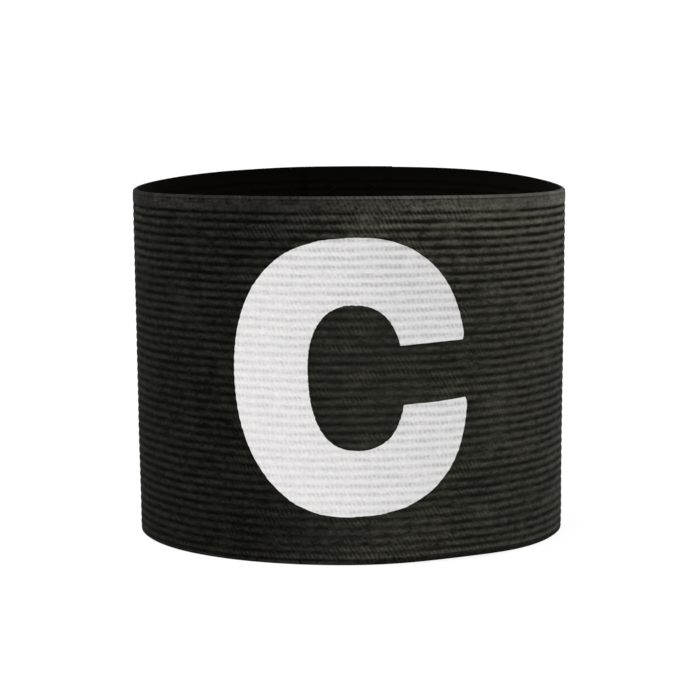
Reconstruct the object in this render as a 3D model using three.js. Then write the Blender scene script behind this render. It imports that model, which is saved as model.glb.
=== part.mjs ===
// A captain's armband. One strip of black ribbed elastic is bent round into a loop, its two ends
// lapped over each other at the back, and a white letter C is printed on the front.
// Millimetres, +Z up. The loop stands on its lower rim at z = 0 and the letter faces -Y.
import * as THREE from "three";

// The loop
const bandWidth = 70; // the strip's width, which is the loop's height in front and at the back
const topRadius = 43.25; // over the ribs, at the upper rim
const bottomRadius = 42.5; // over the ribs, at the lower rim
const rimDip = 1.65; // how much lower the upper rim lies at the two sides
const dipSharpness = 3; // exponent: more keeps the dip closer to the sides
const lapLength = 18; // how far the outer end covers the inner end
const rampLength = 14; // the stretch on which the outer end climbs over the inner one

// The strip's section
const stripThickness = 1.4; // over the ribs
const ribRelief = 0.25; // a rib's height above its groove
const edgeRelief = 0.15; // how much thinner the strip is at its two edges
const ribPitch = 1.66;
const bottomSelvedge = 2; // the plain edge under the lowest groove
const topSelvedge = 3.2; // the plain edge above the highest groove
const selvedgeRelief = 0.12; // depth of the faint line along the middle of the upper selvedge
const plyGap = 0.3; // air between the two plies of the lap

// The printed letter
const letterHeight = 53;
const letterWidth = 46.4;
const sideStroke = 14.9; // width of the upright stroke
const armStroke = 13.2; // width of the two arms at the mouth
const bowStroke = 12.75; // width of the strokes over the top and along the bottom
const mouthHeight = 11.2; // the gap between the two arms
const mouthDrop = 0.2; // the mouth's middle lies this much below the letter's middle
const outerSquareness = 2.33; // exponent of the outer oval: 2 is an ellipse, more is squarer
const innerSquareness = 2.38;
const letterRise = 0.6; // the letter's middle above the band's middle
const letterShift = 0.4; // the letter's middle to the right of the front line
const letterTurn = THREE.MathUtils.degToRad(3.4); // anticlockwise, as it was pressed on
const printThickness = 0.4;
const printGap = 0.3; // from the rib crests to the back of the print

// Facets
const quarterSteps = 12;
const nearLapSteps = 10;
const nearRampSteps = 8;
const rampSteps = 4;
const lapSteps = 4;
const strokeSteps = 56;
const acrossSteps = 4;

// What follows from the sizes above
const meanRadius = (topRadius + bottomRadius) / 2;
const halfLap = lapLength / 2 / meanRadius;
const rampStart = 2 * Math.PI - halfLap - rampLength / meanRadius;
const rampEnd = 2 * Math.PI - halfLap;
const lapLift = stripThickness + plyGap;
const printRadius = meanRadius + printGap + printThickness;

// Evenly spaced values from one value up to, but without, another
function spread(from, to, count) {
  return Array.from({ length: count }, (_, i) => from + ((to - from) * i) / count);
}

// How far the strip has climbed outwards at an angle, to lie on its own inner end
function liftAt(angle) {
  return lapLift * THREE.MathUtils.smoothstep(angle, rampStart, rampEnd);
}

// A point of the flat strip, taken round the loop. The angle runs clockwise seen from above, from
// the middle of the back; height goes up the strip, and outwards is measured from the rib crests.
function bendRound(angle, height, outwards) {
  const share = height / bandWidth;
  const radius = THREE.MathUtils.lerp(bottomRadius, topRadius, share) + liftAt(angle) + outwards;
  const dip = rimDip * Math.abs(Math.sin(angle)) ** dipSharpness;
  return new THREE.Vector3(radius * Math.sin(angle), radius * Math.cos(angle), height - dip * share);
}

// Moves every vertex of a geometry to where the function puts it
function reshape(geometry, place) {
  const position = geometry.getAttribute("position");
  for (let i = 0; i < position.count; i++) {
    const point = place(position.getX(i), position.getY(i), position.getZ(i));
    position.setXYZ(i, point.x, point.y, point.z);
  }
  geometry.computeVertexNormals();
  return geometry;
}

// The strip's section: x from the inner face outwards, y up the strip, ribs on the outer face
function stripSection() {
  const crest = stripThickness;
  const groove = stripThickness - ribRelief;
  const ribCount = Math.round((bandWidth - bottomSelvedge - topSelvedge) / ribPitch);
  const lastGroove = bandWidth - topSelvedge;
  const spacing = (lastGroove - bottomSelvedge) / ribCount;
  const outline = [
    [0, 0],
    [crest - edgeRelief, 0],
    [crest, bottomSelvedge / 2],
    [groove, bottomSelvedge],
  ];
  for (let rib = 0; rib < ribCount; rib++) {
    const start = bottomSelvedge + rib * spacing;
    outline.push([crest, start + spacing / 2], [groove, start + spacing]);
  }
  outline.push(
    [crest, lastGroove + topSelvedge / 4],
    [crest - selvedgeRelief, lastGroove + topSelvedge / 2],
    [crest, lastGroove + (topSelvedge * 3) / 4],
    [crest - edgeRelief, bandWidth],
    [0, bandWidth],
  );
  return new THREE.Shape(outline.map(([x, y]) => new THREE.Vector2(x, y)));
}

// The angles at which the strip is bent, from its inner end to its outer end
function stripStations() {
  return [
    ...spread(-halfLap, halfLap, lapSteps),
    ...spread(halfLap, Math.PI / 2, nearLapSteps),
    ...spread(Math.PI / 2, Math.PI, quarterSteps),
    ...spread(Math.PI, (3 * Math.PI) / 2, quarterSteps),
    ...spread((3 * Math.PI) / 2, rampStart, nearRampSteps),
    ...spread(rampStart, rampEnd, rampSteps),
    ...spread(rampEnd, 2 * Math.PI + halfLap, lapSteps),
    2 * Math.PI + halfLap,
  ];
}

// The whole strip: its section drawn out flat, then bent round from station to station
function elasticStrip() {
  const stations = stripStations();
  const steps = stations.length - 1;
  const flat = new THREE.ExtrudeGeometry(stripSection(), { depth: steps, steps, bevelEnabled: false });
  return reshape(flat, (x, y, z) => bendRound(stations[Math.round(z)], y, x - stripThickness));
}

// A letter's oval, with the place of its middle and how square it is
function oval(middle, halfWidth, halfHeight, squareness) {
  return { middle, halfWidth, halfHeight, squareness };
}

// The angle, seen from the oval's middle, at which its right side passes a height
function angleAtHeight({ halfWidth, halfHeight, squareness }, height) {
  const across = halfWidth * (1 - Math.abs(height / halfHeight) ** squareness) ** (1 / squareness);
  return Math.atan2(height, across);
}

// The oval's point in the direction of an angle
function ovalPoint({ middle, halfWidth, halfHeight, squareness }, angle) {
  const across = Math.abs(Math.cos(angle) / halfWidth) ** squareness;
  const up = Math.abs(Math.sin(angle) / halfHeight) ** squareness;
  const reach = (across + up) ** (-1 / squareness);
  return new THREE.Vector2(middle + reach * Math.cos(angle), reach * Math.sin(angle));
}

// The letter: a box in cells, drawn along the stroke from the upper arm round to the lower one,
// between an outer and an inner oval, and laid round the front of the band
function printedLetter() {
  const outer = oval(0, letterWidth / 2, letterHeight / 2, outerSquareness);
  const inner = oval(
    (sideStroke - armStroke) / 2,
    (letterWidth - sideStroke - armStroke) / 2,
    letterHeight / 2 - bowStroke,
    innerSquareness,
  );
  const upperArm = mouthHeight / 2 - mouthDrop;
  const lowerArm = -mouthHeight / 2 - mouthDrop;
  const along = (edge, share) =>
    ovalPoint(
      edge,
      THREE.MathUtils.lerp(angleAtHeight(edge, upperArm), 2 * Math.PI + angleAtHeight(edge, lowerArm), share),
    );
  const cells = new THREE.BoxGeometry(1, 1, printThickness, strokeSteps, acrossSteps, 1);
  return reshape(cells, (x, y, z) => {
    const point = along(outer, x + 0.5).lerp(along(inner, x + 0.5), y + 0.5);
    point.rotateAround(new THREE.Vector2(), letterTurn);
    const angle = Math.PI - (point.x + letterShift) / printRadius;
    const height = bandWidth / 2 + letterRise + point.y;
    return bendRound(angle, height, printGap + printThickness / 2 + z);
  });
}

function piece(name, geometry, material) {
  const mesh = new THREE.Mesh(geometry, material);
  mesh.name = name;
  return mesh;
}

const blackElastic = new THREE.MeshStandardMaterial({ color: 0x21211d, roughness: 0.85, metalness: 0 });
const whitePrint = new THREE.MeshStandardMaterial({ color: 0xe2e1e1, roughness: 0.7, metalness: 0 });

const armband = new THREE.Group();
armband.add(piece("elastic_band", elasticStrip(), blackElastic));
armband.add(piece("printed_letter", printedLetter(), whitePrint));

// The origin is the middle of the floor that the whole armband covers: the lap reaches further
// back than the letter reaches forward
const letterTop = bandWidth / 2 + letterRise + letterHeight / 2;
const frontReach = -bendRound(Math.PI, letterTop, printGap + printThickness).y;
const backReach = bendRound(2 * Math.PI, bandWidth, 0).y;
armband.position.y = (frontReach - backReach) / 2;

export default armband;
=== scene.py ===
import bpy
import math
from mathutils import Matrix, Vector


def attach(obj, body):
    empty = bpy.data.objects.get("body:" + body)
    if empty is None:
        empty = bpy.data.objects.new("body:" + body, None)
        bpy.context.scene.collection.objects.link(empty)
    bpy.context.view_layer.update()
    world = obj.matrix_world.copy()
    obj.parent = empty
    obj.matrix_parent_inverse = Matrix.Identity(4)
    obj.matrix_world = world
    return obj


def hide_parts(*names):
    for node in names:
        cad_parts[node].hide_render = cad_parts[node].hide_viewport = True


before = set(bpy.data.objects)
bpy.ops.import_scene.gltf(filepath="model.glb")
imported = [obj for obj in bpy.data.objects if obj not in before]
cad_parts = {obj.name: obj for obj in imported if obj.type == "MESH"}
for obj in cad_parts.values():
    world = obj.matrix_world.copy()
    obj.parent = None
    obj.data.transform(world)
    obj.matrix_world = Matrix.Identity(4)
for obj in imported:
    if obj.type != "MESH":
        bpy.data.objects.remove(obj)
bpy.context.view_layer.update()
print("frame loaded")


# helpers for node trees
class Wire:  # an output socket that can be added, multiplied and so on
    def __init__(self, desk, socket):
        self.desk = desk
        self.socket = socket

    def __add__(self, other):
        return self.desk.maths("ADD", self, other)

    def __radd__(self, other):
        return self.desk.maths("ADD", other, self)

    def __sub__(self, other):
        return self.desk.maths("SUBTRACT", self, other)

    def __rsub__(self, other):
        return self.desk.maths("SUBTRACT", other, self)

    def __mul__(self, other):
        return self.desk.maths("MULTIPLY", self, other)

    def __rmul__(self, other):
        return self.desk.maths("MULTIPLY", other, self)

    def __truediv__(self, other):
        return self.desk.maths("DIVIDE", self, other)

    def __rtruediv__(self, other):
        return self.desk.maths("DIVIDE", other, self)

    def __pow__(self, other):
        return self.desk.maths("POWER", self, other)

    def __rpow__(self, other):
        return self.desk.maths("POWER", other, self)


class Desk:  # lays nodes on a tree and wires them
    def __init__(self, tree):
        self.tree = tree

    def node(self, kind, inputs=None, **settings):
        made = self.tree.nodes.new(kind)
        for key, value in settings.items():
            setattr(made, key, value)
        for key, value in (inputs or {}).items():
            self.feed(made.inputs[key], value)
        return made

    def feed(self, socket, value):
        if isinstance(value, Wire):
            self.tree.links.new(value.socket, socket)
        else:
            socket.default_value = value

    def wire(self, node, output=0):
        return Wire(self, node.outputs[output])

    def maths(self, operation, *values):
        made = self.node("ShaderNodeMath", dict(enumerate(values)), operation=operation)
        return self.wire(made)

    def ramp(self, value, low, high, start=0.0, end=1.0, shape="SMOOTHSTEP"):
        inputs = {"Value": value, "From Min": low, "From Max": high}
        inputs.update({"To Min": start, "To Max": end})
        return self.wire(self.node("ShaderNodeMapRange", inputs, interpolation_type=shape))

    def blend(self, low, high, share):
        return low + (high - low) * share

    def vector(self, x=0.0, y=0.0, z=0.0):
        return self.wire(self.node("ShaderNodeCombineXYZ", {"X": x, "Y": y, "Z": z}))

    def parts(self, vector):
        made = self.node("ShaderNodeSeparateXYZ", {"Vector": vector})
        return [self.wire(made, i) for i in range(3)]

    def noise(self, vector, scale, detail=2.0, roughness=0.5):
        inputs = {"Vector": vector, "Scale": scale, "Detail": detail, "Roughness": roughness}
        return self.wire(self.node("ShaderNodeTexNoise", inputs), "Fac")

    def mixColour(self, share, first, second):
        made = self.node("ShaderNodeMix", {0: share, 6: first, 7: second}, data_type="RGBA")
        return self.wire(made, 2)


socketKinds = {float: "NodeSocketFloat", int: "NodeSocketInt"}


def newTree(name, kind, inputs, outputs):
    # inputs are {name: start value or socket kind}, outputs are {name: socket kind}
    tree = bpy.data.node_groups.new(name, kind)
    for label, value in inputs.items():
        socketKind = value if isinstance(value, str) else socketKinds[type(value)]
        socket = tree.interface.new_socket(label, in_out="INPUT", socket_type=socketKind)
        if not isinstance(value, str):
            socket.default_value = value
    for label, socketKind in outputs.items():
        tree.interface.new_socket(label, in_out="OUTPUT", socket_type=socketKind)
    desk = Desk(tree)
    entry = tree.nodes.new("NodeGroupInput")
    outlet = tree.nodes.new("NodeGroupOutput")
    given = {label: desk.wire(entry, label) for label in inputs}
    return tree, desk, given, outlet


def useGroup(desk, kind, tree, inputs=None):
    made = desk.tree.nodes.new(kind)
    made.node_tree = tree
    for key, value in (inputs or {}).items():
        desk.feed(made.inputs[key], value)
    return {socket.name: desk.wire(made, socket.name) for socket in made.outputs}


def setInput(modifier, label, value):
    for item in modifier.node_group.interface.items_tree:
        if item.item_type == "SOCKET" and item.in_out == "INPUT" and item.name == label:
            modifier[item.identifier] = value
            return
    raise KeyError(label)


def growPiece(name, tree, settings):
    # runs a Geometry Nodes tree and keeps what it makes as a plain mesh
    seedMesh = bpy.data.meshes.new(name + "_seed")
    grower = bpy.data.objects.new(name + "_grower", seedMesh)
    bpy.context.scene.collection.objects.link(grower)
    modifier = grower.modifiers.new("make", "NODES")
    modifier.node_group = tree
    for label, value in settings.items():
        setInput(modifier, label, value)
    depsgraph = bpy.context.evaluated_depsgraph_get()
    mesh = bpy.data.meshes.new_from_object(grower.evaluated_get(depsgraph), depsgraph=depsgraph)
    mesh.name = name
    piece = bpy.data.objects.new(name, mesh)
    bpy.context.scene.collection.objects.link(piece)
    bpy.data.objects.remove(grower)
    bpy.data.meshes.remove(seedMesh)
    print(name, "made with", sum(len(p.vertices) - 2 for p in mesh.polygons), "triangles")
    return piece


# the loop that every piece is bent round, as in the CAD part: metres and radians
loop = {
    "bandWidth": 0.070,
    "topRadius": 0.04325,
    "bottomRadius": 0.0425,
    "leftDip": 0.00122,  # how much lower the upper rim lies at the sides
    "rightDip": 0.00152,
    "dipPower": 3.2,  # more keeps a dip closer to the sides
    "dipPowerBack": 0.9,
    "dipPowerTwist": 0.8,
    "backRise": 0.00025,  # how much higher the upper rim lies at the back
    "liftHeight": 0.00038,  # the lower rim's one place that stands off the floor
    "liftAngle": 2.62,
    "liftWidth": 0.30,
    "liftPower": 3.0,  # more keeps the lift closer to the floor
    "belly": 0.00008,  # how far the wall swells halfway up
    "fullness": 0.00005,
    "lapLength": 0.018,
    "rampLength": 0.014,
    "lapLift": 0.0017,
    "axisY": -0.00054,
    "leftLift": 0.00042,  # how far the ribs ride up at the sides
    "rightLift": 0.00027,
    "bulge": 0.00030,  # how far the wall wanders in and out
    "ripple": 0.00055,  # how far a whole stretch of ribs wanders up and down
    "jitter": 0.00028,  # how far one rib wanders by itself
    "bottomHold": (0.0, 0.006),  # heights over which the rims let go of the ribs
    "topHold": (0.070, 0.064, 0.08, 1.0),
}
wander = {  # noises: how fine round the loop and up the wall, seed, scale, detail
    "bulge": (1.1, 45, 0.0, 1.3, 1.0),
    "ripple": (2.2, 60, 7.0, 1.6, 2.0),
    "jitter": (9, 520, 3.0, 1.4, 1.0),
}
meanRadius = (loop["topRadius"] + loop["bottomRadius"]) / 2
halfLap = loop["lapLength"] / 2 / meanRadius
fullTurn = 2 * math.pi
bellBase = 2.718  # for a bell curve


def makeBendTree():
    inputs = {"Angle": 0.0, "Height": 0.0, "Outwards": 0.0}
    outputs = {"Position": "NodeSocketVector"}
    tree, desk, given, outlet = newTree("bendRound", "GeometryNodeTree", inputs, outputs)
    angle, height, outwards = given["Angle"], given["Height"], given["Outwards"]
    sine = desk.maths("SINE", angle)
    cosine = desk.maths("COSINE", angle)
    toRight = sine * 0.5 + 0.5
    share = height / loop["bandWidth"]

    def wandering(name):
        fineRound, fineUp, seed, scale, detail = wander[name]
        spot = desk.vector(sine * fineRound, cosine * fineRound, height * fineUp + seed)
        return (desk.noise(spot, scale, detail) - 0.5) * loop[name]

    rampStart = fullTurn - halfLap - loop["rampLength"] / meanRadius
    lift = desk.ramp(angle, rampStart, fullTurn - halfLap, 0.0, loop["lapLift"])
    belly = desk.maths("SINE", share * math.pi) * loop["belly"] + loop["fullness"]
    radius = desk.blend(loop["bottomRadius"], loop["topRadius"], share)
    radius = radius + lift + outwards + wandering("bulge") + belly
    free = desk.ramp(height, *loop["bottomHold"]) * desk.ramp(height, *loop["topHold"])
    lifted = desk.blend(loop["leftLift"], loop["rightLift"], toRight) * sine * sine
    ripple = (wandering("ripple") + wandering("jitter") + lifted) * free
    power = loop["dipPower"] + cosine * (loop["dipPowerBack"] + sine * loop["dipPowerTwist"])
    depth = desk.blend(loop["leftDip"], loop["rightDip"], toRight)
    dip = desk.maths("ABSOLUTE", sine) ** power * depth
    dip = dip - (cosine + 1.0) / 2.0 * loop["backRise"]
    offFloor = (angle - loop["liftAngle"]) / loop["liftWidth"]
    bell = bellBase ** (0.0 - offFloor * offFloor)
    raised = bell * (1.0 - share) ** loop["liftPower"] * loop["liftHeight"]
    rise = height - dip * share + ripple + raised
    place = desk.vector(radius * sine, radius * cosine + loop["axisY"], rise)
    desk.feed(outlet.inputs["Position"], place)
    return tree


ribs = {
    "pitch": 0.00166,
    "relief": 0.00014,
    "roundness": 0.8,  # under 1: fat ribs with narrow grooves
    "bottomSelvedge": 0.002,
    "topSelvedge": 0.0032,
    "squeeze": 0.0003,  # how much closer the lowest ribs lie
    "squeezeZone": (0.0045, 0.0020),
    "topLine": 0.06934,  # the thin line under the rim
    "topLineRelief": 0.00006,
    "bottomLine": 0.00095,  # the line over the lower rim
    "bottomLineRelief": 0.0002,
    "lineHalfWidth": 0.0005,
}
ribZone = loop["bandWidth"] - ribs["bottomSelvedge"] - ribs["topSelvedge"]
ribCount = round(ribZone / ribs["pitch"])
ribPitch = ribZone / ribCount


def countRibs(desk, height, unit=1.0):
    # how many ribs up a height lies, and the same held halfway past the first and last groove
    start, end = ribs["squeezeZone"]
    squeezed = desk.ramp(height, start * unit, end * unit, 0.0, ribs["squeeze"] * unit)
    phase = (height - squeezed - ribs["bottomSelvedge"] * unit) / (ribPitch * unit)
    return phase, desk.maths("MINIMUM", desk.maths("MAXIMUM", phase, -0.5), ribCount + 0.5)


def makeRibTree():
    outputs = {"Depth": "NodeSocketFloat"}
    tree, desk, given, outlet = newTree("ribSurface", "GeometryNodeTree", {"Height": 0.0}, outputs)
    _, held = countRibs(desk, given["Height"])
    crest = desk.maths("ABSOLUTE", desk.maths("SINE", held * math.pi)) ** ribs["roundness"]
    depth = (crest - 1.0) * ribs["relief"]
    for line in ("topLine", "bottomLine"):
        away = desk.maths("ABSOLUTE", given["Height"] - ribs[line])
        depth = depth - desk.ramp(away, ribs["lineHalfWidth"], 0.0, 0.0, ribs[line + "Relief"])
    desk.feed(outlet.inputs["Depth"], depth)
    return tree


bendTree = makeBendTree()
ribTree = makeRibTree()
print("loop rules ready,", ribCount, "ribs")


creaseAngle = 1.1  # radians, from which an edge is shaded sharp


def bendAndFinish(desk, geometry, angle, height, outwards, outlet, material):
    # bends flat geometry round the loop, keeps its cloth coordinates and gives it its material
    inputs = {"Angle": angle, "Height": height, "Outwards": outwards}
    place = useGroup(desk, "GeometryNodeGroup", bendTree, inputs)
    inputs = {"Geometry": geometry}
    captured = desk.node("GeometryNodeCaptureAttribute", inputs, domain="POINT")
    captured.capture_items.new("VECTOR", "cloth")
    desk.feed(captured.inputs["cloth"], desk.vector(angle * meanRadius, height, 0.0))
    inputs = {"Geometry": desk.wire(captured), "Position": place["Position"]}
    bent = desk.node("GeometryNodeSetPosition", inputs)
    inputs = {"Geometry": desk.wire(bent), "Name": "cloth", "Value": desk.wire(captured, "cloth")}
    settings = {"data_type": "FLOAT2", "domain": "CORNER"}
    mapped = desk.node("GeometryNodeStoreNamedAttribute", inputs, **settings)
    inputs = {"Geometry": desk.wire(mapped)}
    smooth = desk.node("GeometryNodeSetShadeSmooth", inputs, domain="FACE")
    bendAngle = desk.wire(desk.node("GeometryNodeInputMeshEdgeAngle"), "Unsigned Angle")
    sharp = desk.maths("GREATER_THAN", bendAngle, creaseAngle)
    inputs = {"Geometry": desk.wire(smooth), "Selection": sharp, "Shade Smooth": False}
    creased = desk.node("GeometryNodeSetShadeSmooth", inputs, domain="EDGE")
    real = desk.node("GeometryNodeRealizeInstances", {"Geometry": desk.wire(creased)})
    inputs = {"Geometry": desk.wire(real), "Material": material}
    painted = desk.node("GeometryNodeSetMaterial", inputs)
    desk.feed(outlet.inputs["Geometry"], desk.wire(painted))


def keepValues(desk, geometry, values):
    # stores values on the points, to be read again after a sweep or a bend has moved them
    held = desk.node("GeometryNodeCaptureAttribute", {"Geometry": geometry}, domain="POINT")
    for name, value in values.items():
        held.capture_items.new("FLOAT", name)
        desk.feed(held.inputs[name], value)
    return desk.wire(held), *(desk.wire(held, name) for name in values)


# camera: metres and radians
camera = {
    "distance": 0.58803,
    "height": 0.1094,
    "pitch": 0.12456,
    "roll": -0.0056,
    "focalPixels": 2929.56,  # in a picture of this width
    "pictureWidth": 700,
    "sensorWidth": 36,
    "clip": (0.01, 50),
}


def makeCamera():
    data = bpy.data.cameras.new("camera")
    data.sensor_width = camera["sensorWidth"]
    data.lens = camera["focalPixels"] / camera["pictureWidth"] * camera["sensorWidth"]
    data.clip_start, data.clip_end = camera["clip"]
    made = bpy.data.objects.new("camera", data)
    turn = Matrix.Rotation(math.pi / 2 - camera["pitch"], 4, "X")
    turn = turn @ Matrix.Rotation(camera["roll"], 4, "Z")
    place = (0, -camera["distance"], camera["height"])
    made.matrix_world = Matrix.Translation(place) @ turn
    bpy.context.scene.collection.objects.link(made)
    bpy.context.scene.camera = made


makeCamera()
print("camera placed")


# shader groups; the weave works in millimetres, and its "side" runs from -1, left, to 1, right
toMm = 1000
weave = {
    "pickPitch": 0.885,  # from one stitch of a rib to the next
    "pickLean": 0.97,  # stitches that a yarn moves along while it crosses one rib
    "wobble": 1.3,  # how far a column of stitches strays along the strip
    "jitter": 0.5,  # how far one stitch strays, in stitches
    "dotLean": 0.35,  # the lean of the dips that show on a print
    "dotStray": 1.7,  # how much more than the stitches the dips stray
    "fibre": 0.16,
    "openPlace": 130.8,  # round the loop, where the yarns show most at the upper rim
    "beads": 1.65,  # height of the row of beads over the lowest line
    "collar": 67.65,  # height of a lighter stripe on the upper plain edge, part of the painted light there, showing towards the right
    "borderFull": 67.4,
    "grainLoss": (0.38, 0.65),  # how much less the knit shows at the left and the right side
    "calmLoss": (0.2, 0.45),  # the same for streaks and spots
    "grooveDepth": 1.04,
    "frontGrooveLoss": 0.17,  # how much of that the middle of the front loses
    "leastTwill": 0.1,  # how much the slanting yarns show everywhere
    "evenTwill": 0.4,  # more makes them show more evenly
    "beadSideLight": 0.3,  # how much less the beads show at the right, under the painted side light
    "ribJump": 4.7,  # streaks start afresh on each rib
    "ribRun": 1.1,
    "lineStray": 0.2,
    "edgeShine": 1.06,
    "pickHeight": 0.15,  # shares of the bump's height
    "ribHeight": 0.5,
    "twillHeight": 0.35,
    "fibreHeight": 0.6,
    "streakHeight": 0.25,
}
mottle = {  # noises: how fine along and up the strip, seed, detail, roughness
    "patch": (0.11, 0.17, 31.0, 2.0, 0.5),
    "dash": (0.4, 5.3, 17.0, 2.0, 0.5),
    "wobble": (0.2, 0.35, 3.7, 4.0, 0.65),
    "jitter": (1.1, 1.1, 71.0, 1.0, 0.5),
    "wale": (1.6, 0.35, 61.0, 2.0, 0.5),
    "twill": (0.10, 0.26, 11.0, 2.0, 0.5),
    "uneven": (0.9, 0.9, 53.0, 2.0, 0.5),
    "streak": (0.42, 1.0, 4.7, 4.0, 0.7),
    "cloud": (0.035, 0.05, 23.0, 3.0, 0.55),
    "spots": (1.0, 1.8, 41.0, 3.0, 0.62),
    "fibre": (1.2, 1.0, 8.7, 3.0, 0.6),
}
fades = {  # from and to, then what stands at both ends where it isn't 0 and 1
    # over the side
    "far": (-0.3, 0.3),
    # the painted side light, from the left side to the right
    "paintedSideLight": (-0.5, 0.35),
    "footRight": (-0.2, 0.15),
    "pastMiddle": (-0.05, 0.22),
    "beforeRight": (0.75, 0.5),
    "farLeft": (-0.8, -0.95),
    "farRight": (0.85, 0.97),
    "edgeLeft": (-0.3, -0.72, 0.0, 0.74),
    "edgeFarLeft": (-0.78, -0.94, 0.0, 0.45),
    "edgeRight": (0.1, 0.48, 0.0, 0.44),
    "edgeFarRight": (0.8, 0.96, 0.0, 0.82),
    # over the squared side
    "front": (0.25, 0.02),
    "grain": (0.08, 0.5),
    "calm": (0.1, 0.5),
    "streakDetail": (0.1, 0.5, 4.0, 2.2),
    "spotDetail": (0.1, 0.5, 3.0, 1.5),
    # over the height
    "frontMiddleTop": (60.0, 48.0),
    "frontMiddleFoot": (4.0, 12.0),
    "flatFoot": (12.0, 5.0, 0.0, 0.32),
    "flatTop": (60.0, 46.0, 0.0, 0.15),
    "openTop": (62.0, 64.5, 0.0, 0.85),
    "edge": (69.42, 69.62),
    "foot": (1.05, 0.8),
    "darkTop": (58.0, 48.0),
    "darkFoot": (10.0, 24.0, 0.10, 0.23),
    "farLeftTop": (52.0, 58.0, -0.08, 0.48),
    "farRightFoot": (24.0, 14.0, 0.0, 0.26),
    "shineTop": (60.0, 65.5, 0.0, 0.23),
    # over the distance from a line
    "bead": (0.55, 0.2),
    "open": (12.0, 4.0),
    "topLine": (0.22, 0.05, 0.0, 0.5),
    "bottomLine": (0.45, 0.12, 0.0, 0.85),
    "collar": (0.75, 0.15, 0.0, 0.22),
    # over the place on a rib or a stitch
    "row": (0.12, 0.92),
    "upper": (0.15, 0.75),
    "twill": (0.15, 0.9),
    # over a noise
    "patch": (0.28, 0.5, 0.4, 1.0),
    "dash": (0.3, 0.65, 0.75, 1.08),
    "unevenness": (0.3, 0.7, 0.0, 1.0, "LINEAR"),
    "twillPatch": (0.48, 0.66),
}


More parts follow.
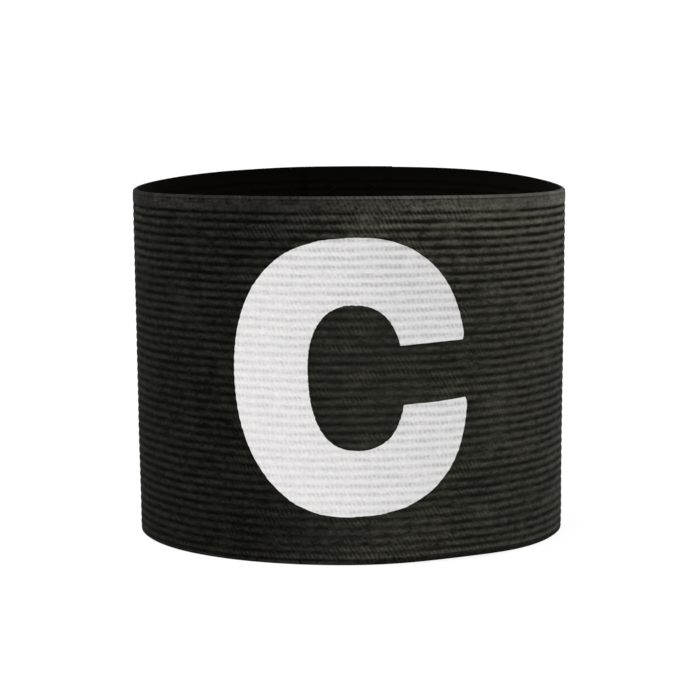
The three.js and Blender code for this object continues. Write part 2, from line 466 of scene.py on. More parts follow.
def makeWeaveGroup():
    # the knit of the ribbed strip and its painted light and shade, read from the cloth coordinates
    inputs = {"Cloth": "NodeSocketVector"}
    inputs.update({"Pick pitch": weave["pickPitch"], "Pick lean": weave["pickLean"]})
    labels = ["Height", "Groove", "Upper", "Pick", "Twill", "Streak", "Spots", "Cloud", "Fibre"]
    labels += ["Border", "Line", "Edge", "PaintedSideLight", "Side", "FrontMiddle", "Row", "Dot", "Wale", "Shine"]
    outputs = {label: "NodeSocketFloat" for label in labels}
    tree, desk, given, outlet = newTree("ribbedWeave", "ShaderNodeTree", inputs, outputs)
    inputs = {0: given["Cloth"], 1: (toMm, toMm, toMm)}
    scaled = desk.node("ShaderNodeVectorMath", inputs, operation="MULTIPLY")
    along, up, _ = desk.parts(desk.wire(scaled))

    def mottled(name, upwards=up, scale=1.0, detail=None):
        fineAlong, fineUp, seed, usual, roughness = mottle[name]
        spot = desk.vector(along * fineAlong, upwards * fineUp, seed)
        return desk.noise(spot, scale, usual if detail is None else detail, roughness)

    def fade(value, name):
        return desk.ramp(value, *fades[name])

    def fromHeight(height):
        return desk.maths("ABSOLUTE", up - height)

    # where on the loop; the painted side light grows from the left side to the right, painted
    # sheen standing in for a light at the right
    side = desk.maths("SINE", along / (meanRadius * toMm))
    turned = side * side
    front = fade(turned, "front")
    far = fade(side, "far")
    paintedSideLight = fade(side, "paintedSideLight")
    grain = 1.0 - fade(turned, "grain") * desk.blend(*weave["grainLoss"], far)
    calm = 1.0 - fade(turned, "calm") * desk.blend(*weave["calmLoss"], far)
    # the middle of the front, where the grooves are painted less dark
    frontMiddle = front * fade(up, "frontMiddleTop") * fade(up, "frontMiddleFoot")
    # ribs and the grooves between them, which fade and deepen along the strip; the groove mask
    # darkens the cloth there, partly as thinner knit and partly as painted shade
    phase, held = countRibs(desk, up, toMm)
    within = desk.maths("FRACT", held + 1.0)
    rib = desk.maths("FLOOR", phase)
    nearest = desk.maths("ROUND", phase)
    fromCrest = desk.maths("ABSOLUTE", within - 0.5) * 2.0
    row = fade(fromCrest, "row") * fade(mottled("dash", nearest), "dash")
    flatter = weave["grooveDepth"] - frontMiddle * weave["frontGrooveLoss"]
    flatter = flatter - front * fade(up, "flatFoot") - fade(up, "flatTop")
    groove = row * fade(mottled("patch"), "patch") * flatter
    upper = fade(within, "upper")
    # stitches
    wobble = (mottled("wobble") - 0.5) * weave["wobble"]
    jitter = (mottled("jitter") - 0.5) * weave["jitter"]
    stitch = (along + wobble) / given["Pick pitch"]
    pickPhase = stitch - phase * given["Pick lean"] + jitter
    pick = desk.maths("COSINE", pickPhase * fullTurn) * 0.5 * grain + 0.5
    # on a print only the dips between stitches show, and they stand nearly upright
    dotPhase = stitch - nearest * given["Pick lean"]
    dotPhase = dotPhase - (phase - nearest) * weave["dotLean"] + jitter * weave["dotStray"]
    dot = desk.maths("COSINE", dotPhase * fullTurn) * 0.5 + 0.5
    wale = (mottled("wale") - 0.5) * grain + 0.5
    # slanting yarns, which show in patches, in the beads and over the letter
    bead = fade(fromHeight(weave["beads"]), "bead") * (1.0 - paintedSideLight * weave["beadSideLight"])
    fromOpen = desk.maths("ABSOLUTE", along - weave["openPlace"])
    overLetter = fade(fromOpen, "open") * fade(up, "openTop")
    twillZone = desk.maths("MAXIMUM", fade(mottled("twill"), "twillPatch"), overLetter)
    twillZone = desk.maths("MAXIMUM", twillZone, bead) * (1.0 - turned)
    twill = fade(pick, "twill") * desk.blend(weave["leastTwill"], 1.0, twillZone)
    twill = twill * (mottled("uneven") + weave["evenTwill"])
    # streaks, spots, fibres and clouds
    upRib = rib * weave["ribJump"] + within * weave["ribRun"]
    streak = mottled("streak", upRib, detail=fade(turned, "streakDetail"))
    streak = (fade(streak, "unevenness") - 0.5) * calm + 0.5
    spots = mottled("spots", detail=fade(turned, "spotDetail"))
    spots = (fade(spots, "unevenness") - 0.5) * calm + 0.5
    fibre = (mottled("fibre", scale=0.5 / weave["fibre"]) - 0.5) * grain + 0.5
    cloud = mottled("cloud")
    # the plain edge above the last groove, and the tight row of loops on the rim itself
    lastGroove = (loop["bandWidth"] - ribs["topSelvedge"]) * toMm
    border = desk.ramp(up, lastGroove, weave["borderFull"])
    edge = fade(up, "edge")
    # dark lines over the lower rim and under the upper rim, painted shade in their grooves, and a
    # dark foot at the right, painted shadow under the lower rim
    underLine = up - ribs["bottomLine"] * toMm + wobble * weave["lineStray"]
    line = fade(desk.maths("ABSOLUTE", underLine), "bottomLine")
    line = line + fade(fromHeight(ribs["topLine"] * toMm), "topLine")
    line = desk.maths("MAXIMUM", line, fade(up, "foot") * fade(side, "footRight"))
    # painted light and shade round the loop, on the ribs and on the plain edge: lighter at the top
    # and at the far sides, darker right of the middle, with a painted lighter stripe on the plain
    # edge towards the right
    rightOfMiddle = fade(side, "pastMiddle") * fade(side, "beforeRight")
    darker = rightOfMiddle * fade(up, "darkTop") * fade(up, "darkFoot")
    farLeft = fade(side, "farLeft") * fade(up, "farLeftTop")
    farRight = fade(side, "farRight") * fade(up, "farRightFoot")
    ribShine = 1.0 + fade(up, "shineTop") - darker + farLeft + farRight
    edgeShine = weave["edgeShine"] + fade(side, "edgeLeft") - fade(side, "edgeFarLeft")
    edgeShine = edgeShine + fade(side, "edgeRight") + fade(side, "edgeFarRight")
    collar = fade(fromHeight(weave["collar"]), "collar") * paintedSideLight
    shine = desk.blend(ribShine, edgeShine * (1.0 + collar), border)
    height = (1.0 - groove) * (pick * weave["pickHeight"] + weave["ribHeight"])
    height = height + twill * weave["twillHeight"] + (fibre - 0.5) * weave["fibreHeight"]
    height = height + streak * weave["streakHeight"]
    results = [height, groove, upper, pick, twill, streak, spots, cloud, fibre]
    results += [border, line, edge, paintedSideLight, turned, frontMiddle, row, dot, wale, shine]
    for label, value in zip(labels, results):
        desk.feed(outlet.inputs[label], value)
    return tree


lintDot = (0.10, 0.03)  # how large a speck is, in parts of the specks' spacing


def makeLintGroup():
    # sparse specks of lint and dust
    inputs = {"Position": "NodeSocketVector", "Spacing": 0.004, "Amount": 0.12}
    outputs = {"Specks": "NodeSocketFloat"}
    tree, desk, given, outlet = newTree("lintSpecks", "ShaderNodeTree", inputs, outputs)
    inputs = {"Vector": given["Position"], "Scale": 1.0 / given["Spacing"]}
    cells = desk.node("ShaderNodeTexVoronoi", inputs, feature="F1")
    near = desk.ramp(desk.wire(cells, "Distance"), *lintDot)
    chance = desk.parts(desk.wire(cells, "Color"))[0]
    desk.feed(outlet.inputs["Specks"], near * desk.maths("LESS_THAN", chance, given["Amount"]))
    return tree


weaveGroup = makeWeaveGroup()
lintGroup = makeLintGroup()
print("shader groups ready")


def newMaterial(name):
    material = bpy.data.materials.new(name)
    material.use_nodes = True
    return material, Desk(material.node_tree), material.node_tree.nodes["Principled BSDF"]


def scaleColour(desk, colour, tone):
    made = desk.node("ShaderNodeVectorMath", {0: colour, "Scale": tone}, operation="SCALE")
    return desk.wire(made)


def readCloth(desk):
    # the cloth coordinates, the knit that lies on them and the share of the way up the strip
    cloth = desk.wire(desk.node("ShaderNodeUVMap", uv_map="cloth"), "UV")
    knit = useGroup(desk, "ShaderNodeGroup", weaveGroup, {"Cloth": cloth})
    return knit, desk.parts(cloth)[1] / loop["bandWidth"]


def readLint(desk, settings=None):
    place = desk.wire(desk.node("ShaderNodeTexCoord"), "Object")
    inputs = {"Position": place, **(settings or {})}
    return useGroup(desk, "ShaderNodeGroup", lintGroup, inputs)["Specks"]


def addBump(desk, shader, height, distance):
    inputs = {"Height": height, "Distance": distance, "Strength": 1.0}
    desk.feed(shader.inputs["Normal"], desk.wire(desk.node("ShaderNodeBump", inputs)))


# the ribbed elastic strip
strip = {
    "thickness": 0.0014,
    "edgeRadius": 0.0006,  # how far in from the rims the strip thins
    "edgeThinning": 0.00045,
    "stations": 320,
    "outerRows": 253,
    "innerRows": 26,
    "cutEnd": 0.001,  # share of the way round that counts as the inner cut end
}
elastic = {
    "crest": (0.0218, 0.0215, 0.0169, 1),
    # the groove colour: thinner knit, and painted shade in the grooves
    "groove": (0.0030, 0.0030, 0.0022, 1),
    "border": (0.0183, 0.0176, 0.0147, 1),
    # the inner face's colour, far darker than the yarn: painted shade inside the loop
    "inside": (0.0029, 0.0026, 0.0019, 1),
    "lint": (0.030, 0.030, 0.027, 1),
    "lintShare": 0.4,
    "paintedSideLight": (0.67, 2.10),  # painted light: tone on the left side, away from the light, and on the right side, towards it
    "fade": (0.90, 1.12),  # painted light: tone at the lower rim, darker, and at the upper rim, lighter
    "roughness": 0.8,
    "grooveRoughness": 0.15,
    "fibreRoughness": 0.2,
    "specular": 0.02,
    "bump": 0.00013,
}
elasticTone = {  # how strongly each part of the knit, and of the painted light and shade, shows
    "streaks": 0.85,
    "spots": 0.85,
    "fibres": 0.4,
    "picks": 0.05,
    "clouds": 0.7,
    "twill": (0.5, 0.3),  # on the ribs and on the plain edge
    "usualTwill": 0.15,
    "shift": -0.24,
    "least": 0.12,
    "frontMiddleTone": 0.9,
    "frontMiddleShare": 0.32,
    "frontMiddleDark": 0.13,
    "ribHalves": (0.85, 1.20),  # painted light from above: tone of the lower half of a rib, darker, and of the upper half, lighter
    "line": 0.75,
    "rimLoops": (0.34, 0.54),
    # this and the next two: a painted highlight on the upper rim's loops, stronger towards the
    # right and weaker at the sides
    "rimLight": 1.4,
    "rimSideLight": 0.25,
    "rimSide": 1.1,
    "wales": (0.80, 1.20),
    # a painted highlight on the ribs at the upper right
    "upperRight": (0.5, 0.9, 0.0, 0.5),
    "sunk": 1.05,
    "sunkTwill": 0.35,
    "borderFlat": 0.8,
}
liningTone = {"base": 1.30, "rows": 0.45, "streaks": 0.3, "top": (1.0, 0.94, 0.72, 1.05)}


def makeElastic():
    material, desk, shader = newMaterial("blackElastic")
    knit, upShare = readCloth(desk)
    inside = desk.wire(desk.node("ShaderNodeAttribute", attribute_name="inside"), "Fac")
    show = elasticTone
    # the outer face: the yarn's tone, then painted light and shade over it
    tone = knit["Streak"] * show["streaks"] + knit["Spots"] * show["spots"]
    tone = tone + knit["Fibre"] * show["fibres"] + (knit["Pick"] - 0.5) * show["picks"]
    twill = (knit["Twill"] - show["usualTwill"]) * desk.blend(*show["twill"], knit["Border"])
    tone = tone + twill + (knit["Cloud"] - 0.5) * show["clouds"] + show["shift"]
    tone = desk.maths("MAXIMUM", tone, show["least"])
    # the middle of the front: its tone evened out here, and made a little darker below
    tone = desk.blend(tone, show["frontMiddleTone"], knit["FrontMiddle"] * show["frontMiddleShare"])
    # painted light from above: the upper half of each rib lighter than the lower half
    tone = tone * desk.blend(*show["ribHalves"], knit["Upper"])
    # painted shade in the dark lines and painted shadow along the foot
    tone = tone * (1.0 - knit["Line"] * show["line"]) * (1.0 - knit["FrontMiddle"] * show["frontMiddleDark"])
    # a painted highlight on the upper rim's loops, stronger towards the right and weaker at the
    # sides
    rimLight = show["rimLight"] + knit["PaintedSideLight"] * show["rimSideLight"] - knit["Side"] * show["rimSide"]
    tone = tone + knit["Edge"] * desk.blend(*show["rimLoops"], knit["Pick"]) * rimLight
    # painted light and shade round the loop, with the knit's lighter and darker wales
    tone = tone * knit["Shine"] * desk.blend(*show["wales"], knit["Wale"])
    # a painted highlight on the ribs towards the upper right, not on the plain edge
    upperRight = knit["Side"] * knit["PaintedSideLight"] * desk.ramp(upShare, *show["upperRight"])
    tone = tone * (1.0 + upperRight * (1.0 - knit["Border"]))
    yarn = desk.mixColour(knit["Border"], elastic["crest"], elastic["border"])
    # the grooves: thinner knit, darkened further as painted shade
    sunk = knit["Groove"] * (1.0 - knit["Border"] * show["borderFlat"])
    sunk = sunk * (show["sunk"] - knit["Twill"] * show["sunkTwill"])
    sunk = desk.maths("MINIMUM", sunk, 1.0)
    grooved = desk.mixColour(sunk, scaleColour(desk, yarn, tone), elastic["groove"])
    dusted = desk.mixColour(readLint(desk) * elastic["lintShare"], grooved, elastic["lint"])
    # painted light: the cloth painted darker on the left side and towards the lower rim, lighter
    # on the right side and towards the upper rim
    paintedLight = desk.blend(*elastic["paintedSideLight"], knit["PaintedSideLight"]) * desk.blend(*elastic["fade"], upShare)
    outside = scaleColour(desk, dusted, paintedLight)
    # the inner face, painted dark as shade inside the loop, with faint rows
    dim = liningTone["base"] - knit["Row"] * liningTone["rows"]
    dim = dim + (knit["Streak"] - 0.5) * liningTone["streaks"]
    dim = dim * desk.ramp(upShare, *liningTone["top"])
    lining = scaleColour(desk, elastic["inside"][:3], dim)
    desk.feed(shader.inputs["Base Color"], desk.mixColour(inside, outside, lining))
    rough = elastic["roughness"] + knit["Groove"] * elastic["grooveRoughness"]
    rough = rough + (knit["Fibre"] - 0.5) * elastic["fibreRoughness"]
    desk.feed(shader.inputs["Roughness"], rough)
    shader.inputs["Specular IOR Level"].default_value = elastic["specular"]
    addBump(desk, shader, knit["Height"], elastic["bump"])
    return material


def makeStripTree():
    inputs = {
        "Thickness": strip["thickness"],
        "Edge radius": strip["edgeRadius"],
        "Edge thinning": strip["edgeThinning"],
        "Stations": strip["stations"],
        "Outer rows": strip["outerRows"],
        "Inner rows": strip["innerRows"],
        "Material": "NodeSocketMaterial",
    }
    outputs = {"Geometry": "NodeSocketGeometry"}
    tree, desk, given, outlet = newTree("elasticStrip", "GeometryNodeTree", inputs, outputs)
    straight = desk.node("GeometryNodeCurvePrimitiveLine", {"End": (1.0, 0.0, 0.0)})
    inputs = {"Curve": desk.wire(straight), "Count": given["Stations"]}
    path = desk.node("GeometryNodeResampleCurve", inputs, mode="COUNT")
    share = desk.wire(desk.node("GeometryNodeSplineParameter"), "Factor")
    station, share = keepValues(desk, desk.wire(path), {"share": share})
    # the section: up the outer face, then down the inner face
    count = given["Outer rows"] + given["Inner rows"] + 2.0
    points = desk.node("GeometryNodeMeshLine", {"Count": count, "Offset": (0.0, 0.0, 0.001)})
    index = desk.wire(desk.node("GeometryNodeInputIndex"))
    onInner = desk.maths("GREATER_THAN", index, given["Outer rows"] + 0.5)
    outerShare = index / given["Outer rows"]
    innerShare = 1.0 - (index - given["Outer rows"] - 1.0) / given["Inner rows"]
    height = desk.blend(outerShare, innerShare, onInner) * loop["bandWidth"]
    values = {"height": height, "inner": onInner}
    section, height, inner = keepValues(desk, desk.wire(points), values)
    ring = desk.node("GeometryNodeMeshToCurve", {"Mesh": section})
    inputs = {"Geometry": desk.wire(ring), "Cyclic": True}
    closed = desk.node("GeometryNodeSetSplineCyclic", inputs)
    inputs = {"Curve": station, "Profile Curve": desk.wire(closed), "Fill Caps": True}
    swept = desk.node("GeometryNodeCurveToMesh", inputs)
    angle = share * (fullTurn + 2 * halfLap) - halfLap
    toEdge = desk.maths("MINIMUM", height, loop["bandWidth"] - height) / given["Edge radius"]
    missing = 1.0 - desk.maths("MINIMUM", toEdge, 1.0)
    thinning = (1.0 - desk.maths("SQRT", 1.0 - missing * missing)) * given["Edge thinning"]
    depth = useGroup(desk, "GeometryNodeGroup", ribTree, {"Height": height})["Depth"]
    outwards = desk.blend(depth - thinning, thinning - given["Thickness"], inner)
    # the inner face is marked, and with it the cut end that lies under the lap; both take the
    # inner face's painted shade
    inside = desk.maths("MAXIMUM", inner, desk.maths("LESS_THAN", share, strip["cutEnd"]))
    inputs = {"Geometry": desk.wire(swept), "Name": "inside", "Value": inside}
    settings = {"data_type": "FLOAT", "domain": "POINT"}
    marked = desk.node("GeometryNodeStoreNamedAttribute", inputs, **settings)
    bendAndFinish(desk, desk.wire(marked), angle, height, outwards, outlet, given["Material"])
    return tree


elasticMaterial = makeElastic()
band = growPiece("ribbed_elastic", makeStripTree(), {"Material": elasticMaterial})
print("elastic strip done")


# the printed letter
letter = {
    "halfWidth": 0.02295,
    "halfHeight": 0.02644,
    "squareness": 2.35,
    "squareLean": 0.15,  # squarer at the right than at the left
    "squareTwist": 0.13,  # and more so at the lower right
    "tipRounding": 0.00045,
    "tipShare": 0.009,  # share of the stroke that a tip's rounding takes
    "ragged": 0.00028,  # how unevenly the ink ends on the knit
    "raggedGrain": 150,
    "raggedSeed": 9000,  # sets the outer and the inner edge apart
    "counterShift": 0.00107,
    "counterDrop": 0.00007,
    "counterHalfWidth": 0.00913,
    "counterHalfHeight": 0.01386,
    "counterSquareness": 2.38,
    "upperCut": 0.0056,
    "lowerCut": -0.00588,
    "rise": 0.00079,
    "shift": 0.00013,
    "turn": 3.4,  # degrees
    "alongSteps": 470,
    "acrossSteps": 54,
    "film": 0.00016,
    "gap": 0.00004,
    "levelling": 0.8,  # how much of the ribs' depth still shows on the print
}
printInk = {
    "crest": (0.745, 0.735, 0.735, 1),
    # the print in the grooves and dips: thinner ink over the dark knit, and painted shade in the
    # dips
    "groove": (0.44, 0.43, 0.435, 1),
    "speck": (0.30, 0.29, 0.28, 1),
    "speckShare": 0.5,
    "specks": {"Spacing": 0.006, "Amount": 0.05},
    "roughness": 0.58,
    "fibreRoughness": 0.2,
    "specular": 0.35,
    "bump": 0.00007,
}
printTone = {  # how strongly each part of the knit shows through, and the painted shade on the print
    "rows": 0.5,
    "grooves": 0.45,
    "dips": (0.58, 0.31),  # in a dip between two stitches and on a stitch
    "streaks": (0.35, 1.65),
    "wales": (0.5, 1.5),
    # painted shade: the dips show more towards the right, and more towards the upper rim
    "paintedSideLight": (0.95, 1.55),
    "lowerAndUpper": (0.80, 1.30),
    "top": (0.99, 0.935),  # painted shade: tone at the lower rim, and at the upper rim, darker
    "fibres": 0.12,
    "spots": 0.13,
    "twill": 0.06,
    "usualTwill": 0.15,
    "clouds": 0.08,
    "columns": 0.20,
    "shadedFrom": 0.65,  # painted side light from which the print is painted a little darker, as painted shade
    "shaded": 0.09,
}


def makePrint():
    material, desk, shader = newMaterial("whitePrint")
    knit, upShare = readCloth(desk)
    show = printTone
    # the dips and grooves on the print, partly thin ink and partly painted shade
    dots = knit["Row"] * show["rows"] + knit["Groove"] * show["grooves"]
    dots = dots * desk.blend(*show["dips"], knit["Dot"])
    dots = dots * desk.blend(*show["streaks"], knit["Streak"])
    dots = dots * desk.blend(*show["wales"], knit["Wale"]) * desk.blend(*show["paintedSideLight"], knit["PaintedSideLight"])
    dots = dots * desk.blend(*show["lowerAndUpper"], upShare)
    # the print's tone, painted darker towards the upper rim as shade
    tone = desk.blend(*show["top"], upShare) + (knit["Fibre"] - 0.5) * show["fibres"]
    tone = tone + (knit["Spots"] - 0.5) * show["spots"]
    tone = tone + (knit["Twill"] - show["usualTwill"]) * show["twill"]
    tone = tone + (knit["Cloud"] - 0.5) * show["clouds"] + (knit["Wale"] - 0.5) * show["columns"]
    # painted shade: the print darker on the right side
    shaded = desk.maths("MAXIMUM", knit["PaintedSideLight"] - show["shadedFrom"], 0.0)
    shade = scaleColour(desk, printInk["crest"][:3], tone - shaded * show["shaded"])
    dotted = desk.mixColour(dots, shade, printInk["groove"])
    specks = readLint(desk, printInk["specks"]) * printInk["speckShare"]
    desk.feed(shader.inputs["Base Color"], desk.mixColour(specks, dotted, printInk["speck"]))
    rough = printInk["roughness"] + (knit["Fibre"] - 0.5) * printInk["fibreRoughness"]
    desk.feed(shader.inputs["Roughness"], rough)
    shader.inputs["Specular IOR Level"].default_value = printInk["specular"]
    addBump(desk, shader, knit["Height"], printInk["bump"])
    return material


def makeOvalTree():
    # an oval's point at a share of the way from the upper cut round to the lower one
    names = ["Share", "Half width", "Half height", "Squareness", "Square lean", "Square twist"]
    names += ["Tip rounding", "Middle", "Upper cut", "Lower cut"]
    inputs = {name: 1.0 for name in names}
    outputs = {"X": "NodeSocketFloat", "Y": "NodeSocketFloat"}
    tree, desk, given, outlet = newTree("letterOval", "GeometryNodeTree", inputs, outputs)
    halfWidth, halfHeight, share = given["Half width"], given["Half height"], given["Share"]
    tipPower = given["Squareness"] + given["Square lean"]

    def angleAt(height):
        used = desk.maths("ABSOLUTE", height / halfHeight) ** tipPower
        across = halfWidth * (1.0 - used) ** (1.0 / tipPower)
        return desk.maths("ARCTAN2", height, across)

    start, end = angleAt(given["Upper cut"]), angleAt(given["Lower cut"]) + fullTurn
    angle = desk.blend(start, end, share)
    cosine, sine = desk.maths("COSINE", angle), desk.maths("SINE", angle)
    below = desk.maths("MAXIMUM", 0.0 - sine, 0.0)
    power = given["Squareness"] + cosine * (given["Square lean"] + below * given["Square twist"])
    across = desk.maths("ABSOLUTE", cosine / halfWidth) ** power
    up = desk.maths("ABSOLUTE", sine / halfHeight) ** power
    toTip = desk.maths("MINIMUM", share, 1.0 - share) / letter["tipShare"]
    nearTip = desk.maths("MAXIMUM", 1.0 - toTip, 0.0)
    seed = given["Middle"] * letter["raggedSeed"]
    ragged = desk.noise(desk.vector(share * letter["raggedGrain"], seed, 5.0), 1.0)
    reach = (across + up) ** (-1.0 / power) - nearTip * nearTip * given["Tip rounding"]
    reach = reach + (ragged - 0.5) * letter["ragged"]
    desk.feed(outlet.inputs["X"], given["Middle"] + reach * cosine)
    desk.feed(outlet.inputs["Y"], reach * sine)
    return tree


def makeLetterTree():
    inputs = {
        "Half width": letter["halfWidth"],
        "Half height": letter["halfHeight"],
        "Squareness": letter["squareness"],
        "Square lean": letter["squareLean"],
        "Square twist": letter["squareTwist"],
        "Tip rounding": letter["tipRounding"],
        "Counter shift": letter["counterShift"],
        "Counter drop": letter["counterDrop"],
        "Counter half width": letter["counterHalfWidth"],
        "Counter half height": letter["counterHalfHeight"],
        "Counter squareness": letter["counterSquareness"],
        "Upper cut": letter["upperCut"],
        "Lower cut": letter["lowerCut"],
        "Film": letter["film"],
        "Gap": letter["gap"],
        "Along steps": letter["alongSteps"],
        "Across steps": letter["acrossSteps"],
        "Material": "NodeSocketMaterial",
    }
    outputs = {"Geometry": "NodeSocketGeometry"}
    tree, desk, given, outlet = newTree("printedLetter", "GeometryNodeTree", inputs, outputs)
    # a box in cells, drawn along the stroke from the upper arm round to the lower one
    inputs = {"Vertices X": given["Along steps"], "Vertices Y": given["Across steps"]}
    inputs.update({"Vertices Z": 2, "Size": (1.0, 1.0, 1.0)})
    cells = desk.node("GeometryNodeMeshCube", inputs)
    cellX, cellY, cellZ = desk.parts(desk.wire(desk.node("GeometryNodeInputPosition")))
    share, across, onTop = cellX + 0.5, cellY + 0.5, cellZ + 0.5
    ovalTree = makeOvalTree()
    upperCut, lowerCut, drop = given["Upper cut"], given["Lower cut"], given["Counter drop"]
    inputs = {
        "Share": share,
        "Upper cut": upperCut,
        "Lower cut": lowerCut,
        "Half width": given["Half width"],
        "Half height": given["Half height"],
        "Squareness": given["Squareness"],
        "Square lean": given["Square lean"],
        "Square twist": given["Square twist"],
        "Tip rounding": given["Tip rounding"],
        "Middle": 0.0,
    }
    outer = useGroup(desk, "GeometryNodeGroup", ovalTree, inputs)
    inputs = {
        "Share": share,
        "Upper cut": upperCut + drop,
        "Lower cut": lowerCut + drop,
        "Half width": given["Counter half width"],
        "Half height": given["Counter half height"],
        "Squareness": given["Counter squareness"],
        "Square lean": 0.0,
        "Square twist": 0.0,
        "Tip rounding": 0.0,
        "Middle": given["Counter shift"],
    }
    inner = useGroup(desk, "GeometryNodeGroup", ovalTree, inputs)
    x = desk.blend(outer["X"], inner["X"], across)
    y = desk.blend(outer["Y"], inner["Y"] - drop, across)
    turn = math.radians(letter["turn"])
    right = x * math.cos(turn) - y * math.sin(turn) + letter["shift"]
    height = x * math.sin(turn) + y * math.cos(turn) + loop["bandWidth"] / 2 + letter["rise"]
    angle = math.pi - right / meanRadius
    depth = useGroup(desk, "GeometryNodeGroup", ribTree, {"Height": height})["Depth"]
    back = depth + given["Gap"]
    top = depth * letter["levelling"] + given["Gap"] + given["Film"]
    values = {"angle": angle, "height": height, "outwards": desk.blend(back, top, onTop)}
    flat, angle, height, outwards = keepValues(desk, desk.wire(cells, "Mesh"), values)
    bendAndFinish(desk, flat, angle, height, outwards, outlet, given["Material"])
    return tree


printMaterial = makePrint()
printedLetter = growPiece("white_letter", makeLetterTree(), {"Material": printMaterial})
print("letter done")


# the zigzag stitches of the lap
seam = {
    "rowPlaces": (-0.0045, 0.0045),  # along the strip, from the middle of the back
    "rowWidth": 0.0026,
    "stitchStep": 0.0015,
    "firstStitch": 0.0025,
    "stitches": 43,
    "threadRadius": 0.00017,
    "stitchRise": 0.00045,
    "endDepth": -0.0002,  # the thread's ends dive into the cloth
    "arcSteps": 6,
    "threadSides": 6,
    "innerDepth": -0.00145,
    "betweenFaces": -0.0009,  # tells the outer rows from the inner ones
}
thread = {
    "colour": (0.0020, 0.0020, 0.0017, 1),
    "ply": (0.0065, 0.0065, 0.0056, 1),
    "bobbin": (0.0020, 0.0020, 0.0016, 1),  # the thread on the inner face
    "roughness": 0.6,
    "specular": 0.04,
    "plyScale": 1400.0,
    "plyDistortion": 1.5,
    "outside": (0.0425, 0.0435),  # distance from the axis, between the inner and outer rows
    "bump": 0.00005,
}


def makeThread():
    material, desk, shader = newMaterial("blackThread")
    place = desk.wire(desk.node("ShaderNodeTexCoord"), "Object")
    inputs = {"Vector": place, "Scale": thread["plyScale"], "Distortion": thread["plyDistortion"]}
    plies = desk.wire(desk.node("ShaderNodeTexWave", inputs, bands_direction="DIAGONAL"), "Fac")
    x, y, _ = desk.parts(place)
    onOutside = desk.ramp(desk.maths("SQRT", x * x + y * y), *thread["outside"])
    twisted = desk.mixColour(plies, thread["colour"], thread["ply"])
    colour = desk.mixColour(onOutside, thread["bobbin"], twisted)
    desk.feed(shader.inputs["Base Color"], colour)
    shader.inputs["Roughness"].default_value = thread["roughness"]
    shader.inputs["Specular IOR Level"].default_value = thread["specular"]
    addBump(desk, shader, plies, thread["bump"])
    return material


def makeSeamTree():
    inputs = {
        "Row width": seam["rowWidth"],
        "Stitch step": seam["stitchStep"],
        "First stitch": seam["firstStitch"],
        "Stitches": seam["stitches"],
        "Thread radius": seam["threadRadius"],
        "Stitch rise": seam["stitchRise"],
        "Material": "NodeSocketMaterial",
    }
    outputs = {"Geometry": "NodeSocketGeometry"}
    tree, desk, given, outlet = newTree("zigzagSeam", "GeometryNodeTree", inputs, outputs)
    # one stitch: a thread that rises out of the cloth and goes back into it
    width, step, radius = given["Row width"], given["Stitch step"], given["Thread radius"]
    reach = desk.maths("SQRT", width * width + step * step) / 2.0
    inputs = {
        "Resolution": seam["arcSteps"],
        "Start": desk.vector(0.0 - reach, 0.0, seam["endDepth"]),
        "Middle": desk.vector(0.0, 0.0, given["Stitch rise"]),
        "End": desk.vector(reach, 0.0, seam["endDepth"]),
    }
    arc = desk.node("GeometryNodeCurveQuadraticBezier", inputs)
    inputs = {"Resolution": seam["threadSides"], "Radius": radius}
    threadRing = desk.node("GeometryNodeCurvePrimitiveCircle", inputs)
    inputs = {"Curve": desk.wire(arc), "Profile Curve": desk.wire(threadRing), "Fill Caps": True}
    stitch = desk.node("GeometryNodeCurveToMesh", inputs)
    # two rows on the outer face, then the same two on the inner face
    rows = 2 * len(seam["rowPlaces"])
    inputs = {"Count": given["Stitches"] * float(rows), "Offset": (0, 0, 0)}
    points = desk.node("GeometryNodeMeshLine", inputs)
    index = desk.wire(desk.node("GeometryNodeInputIndex"))
    row = desk.maths("FLOOR", index / given["Stitches"])
    number = index - row * given["Stitches"]
    column = desk.maths("MODULO", row, 2.0)
    onInside = desk.maths("GREATER_THAN", row, 1.5)
    along = desk.blend(*seam["rowPlaces"], column)
    height = given["First stitch"] + (number + 0.5) * step
    place = desk.vector(along, height, onInside * seam["innerDepth"])
    inputs = {"Geometry": desk.wire(points), "Position": place}
    spread = desk.node("GeometryNodeSetPosition", inputs)
    lean = desk.maths("ARCTAN2", step, width) * (desk.maths("MODULO", number, 2.0) * 2.0 - 1.0)
    inputs = {
        "Points": desk.wire(spread),
        "Instance": desk.wire(stitch),
        "Rotation": desk.vector(onInside * math.pi, 0.0, lean),
    }
    placed = desk.node("GeometryNodeInstanceOnPoints", inputs)
    real = desk.node("GeometryNodeRealizeInstances", {"Geometry": desk.wire(placed)})
    flatX, flatY, flatZ = desk.parts(desk.wire(desk.node("GeometryNodeInputPosition")))
    isOutside = desk.maths("GREATER_THAN", flatZ, seam["betweenFaces"])
    angle = flatX / meanRadius + isOutside * fullTurn
    values = {"angle": angle, "height": flatY, "outwards": flatZ}
    flat, angle, height, outwards = keepValues(desk, desk.wire(real), values)
    bendAndFinish(desk, flat, angle, height, outwards, outlet, given["Material"])
    return tree


stitches = growPiece("lap_stitches", makeSeamTree(), {"Material": makeThread()})
print("stitches done")


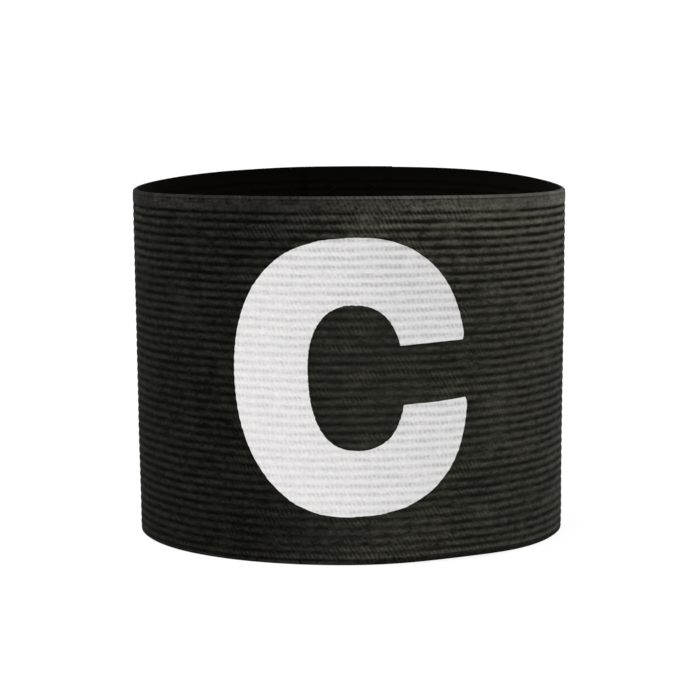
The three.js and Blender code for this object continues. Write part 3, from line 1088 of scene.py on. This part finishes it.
# floor, backdrop and light
studio = {
    "radius": 1.7,  # of the flat of the round sweep
    "bend": 0.6,
    "bendSteps": 10,
    "innerRing": 0.3,  # radius of the first ring of faces
    "sides": 96,
    "top": 2.2,
    "colour": (0.22, 0.22, 0.22, 1),
    "lighter": (0.231, 0.231, 0.231, 1),
    "grain": 260.0,
    "roughness": 0.9,
    "glow": 0.88,  # the sweep is lit from behind, like a light table
    "world": 0.18,
}
lights = (  # name, place, aim, size, power in watts, colour
    ("keyLeft", (-1.15, -0.65, 1.05), (0, 0, 0.035), (1.1, 1.1), 7, (1.0, 0.995, 0.99)),
    ("sideRight", (1.05, -0.30, 0.50), (0, 0, 0.035), (0.7, 0.7), 0.4, (1.0, 0.99, 0.97)),
    ("top", (0.0, 0.0, 1.7), (0, 0, 0), (1.6, 1.6), 6, (1.0, 1.0, 1.0)),
)


def makeStudio():
    outline = [(studio["innerRing"], 0.0), (studio["radius"], 0.0)]
    for step in range(1, studio["bendSteps"] + 1):
        turn = math.pi / 2 * step / studio["bendSteps"]
        reach, rise = math.sin(turn), 1 - math.cos(turn)
        outline.append((studio["radius"] + studio["bend"] * reach, studio["bend"] * rise))
    outline.append((outline[-1][0], studio["top"]))
    sides = studio["sides"]
    points = [(0.0, 0.0, 0.0)]
    for r, z in outline:
        for i in range(sides):
            turn = fullTurn * i / sides
            points.append((r * math.cos(turn), r * math.sin(turn), z))
    faces = [(0, 1 + i, 1 + (i + 1) % sides) for i in range(sides)]
    for ring in range(len(outline) - 1):
        near, far = 1 + ring * sides, 1 + (ring + 1) * sides
        for i in range(sides):
            after = (i + 1) % sides
            faces.append((near + i, far + i, far + after, near + after))
    mesh = bpy.data.meshes.new("studioFloor")
    mesh.from_pydata(points, [], faces)
    mesh.polygons.foreach_set("use_smooth", [True] * len(faces))
    material, desk, shader = newMaterial("palePaper")
    place = desk.wire(desk.node("ShaderNodeTexCoord"), "Object")
    grain = desk.noise(place, studio["grain"], 3.0)
    paper = desk.mixColour(grain, studio["colour"], studio["lighter"])
    desk.feed(shader.inputs["Base Color"], paper)
    shader.inputs["Roughness"].default_value = studio["roughness"]
    shader.inputs["Specular IOR Level"].default_value = 0.0
    shader.inputs["Emission Color"].default_value = (1, 1, 1, 1)
    shader.inputs["Emission Strength"].default_value = studio["glow"]
    mesh.materials.append(material)
    floor = bpy.data.objects.new("studioFloor", mesh)
    bpy.context.scene.collection.objects.link(floor)


def makeLights():
    world = bpy.data.worlds.new("softWorld")
    world.use_nodes = True
    background = world.node_tree.nodes["Background"]
    background.inputs["Color"].default_value = (1, 1, 1, 1)
    background.inputs["Strength"].default_value = studio["world"]
    bpy.context.scene.world = world
    for name, place, aim, size, power, colour in lights:
        data = bpy.data.lights.new(name, "AREA")
        data.shape = "RECTANGLE"
        data.size, data.size_y = size
        data.energy = power
        data.color = colour
        lamp = bpy.data.objects.new(name, data)
        lamp.visible_camera = False
        turn = (Vector(aim) - Vector(place)).to_track_quat("-Z", "Y")
        lamp.matrix_world = Matrix.Translation(place) @ turn.to_matrix().to_4x4()
        bpy.context.scene.collection.objects.link(lamp)


makeStudio()
makeLights()
bpy.context.scene.view_settings.view_transform = "Standard"
print("studio lit")


# what stands for what
for piece, slot in ((band, "elastic"), (printedLetter, "print"), (stitches, "elastic")):
    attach(piece, "root")
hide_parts("elastic_band")
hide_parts("printed_letter")

bpy.context.view_layer.update()
